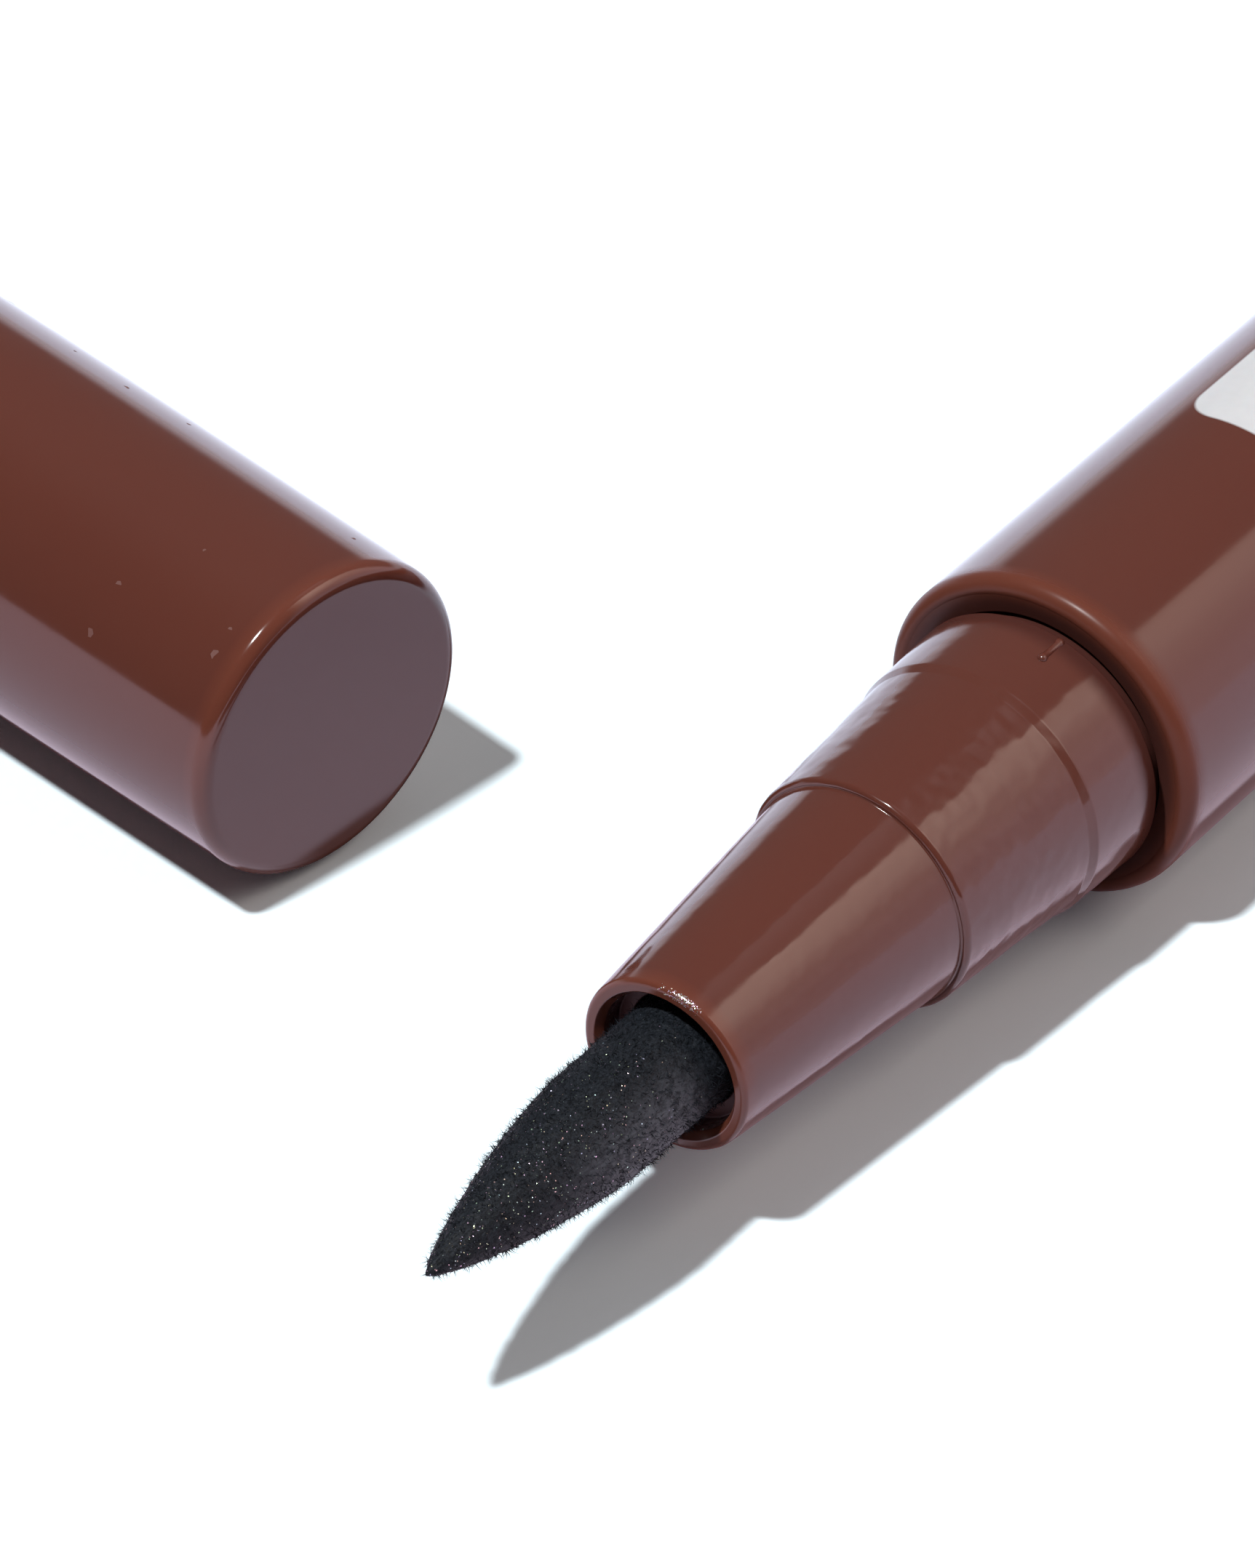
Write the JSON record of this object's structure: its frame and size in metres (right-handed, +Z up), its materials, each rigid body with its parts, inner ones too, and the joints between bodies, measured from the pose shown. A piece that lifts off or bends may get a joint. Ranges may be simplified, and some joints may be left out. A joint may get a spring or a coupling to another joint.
{
  "type": "eyeliner",
  "caption": "Felt tip liquid eyeliner lying uncapped: brown gloss barrel and stepped nozzle, glittery blue-black felt nib, and its brown cap lying beside it.",
  "frame": {"origin": "on the table, at the centre of the footprint that the pen and the cap share", "axes": "+X along the pen from its nib to its tail, +Y from the pen towards the cap, +Z up"},
  "size_m": [0.12, 0.0632, 0.011],
  "materials": {
    "brown_plastic": "glossy",
    "ink_felt": "matte felt with fine glitter",
    "natural_plastic": "satin",
    "comb_plastic": "satin",
    "wick_fibre": "matte",
    "ball_steel": "polished"
  },
  "bodies": {
    "pen": {"barrel": "brown_plastic", "tail_plug": "brown_plastic", "nozzle": "brown_plastic", "nib": "ink_felt", "nib_holder": "natural_plastic", "wick": "wick_fibre", "collector": "comb_plastic", "tank_plug": "natural_plastic", "ink_tank": "natural_plastic"},
    "ball": {"mixing_ball": "ball_steel"},
    "cap": {"cap_shell": "brown_plastic", "inner_cap": "natural_plastic"}
  },
  "joints": [
    {"name": "ball_roll_and_cap_push", "type": "slide", "parent": "pen", "child": "ball", "axis": [1, 0, 0], "range_m": [0, 0.03302]},
    {"name": "cap_swing", "type": "hinge", "parent": "ball", "child": "cap", "pos_m": [-0.0828, 0.01822, 0.0055], "axis": [0, 0, 1], "range_deg": [0, 278.97]}
  ]
}
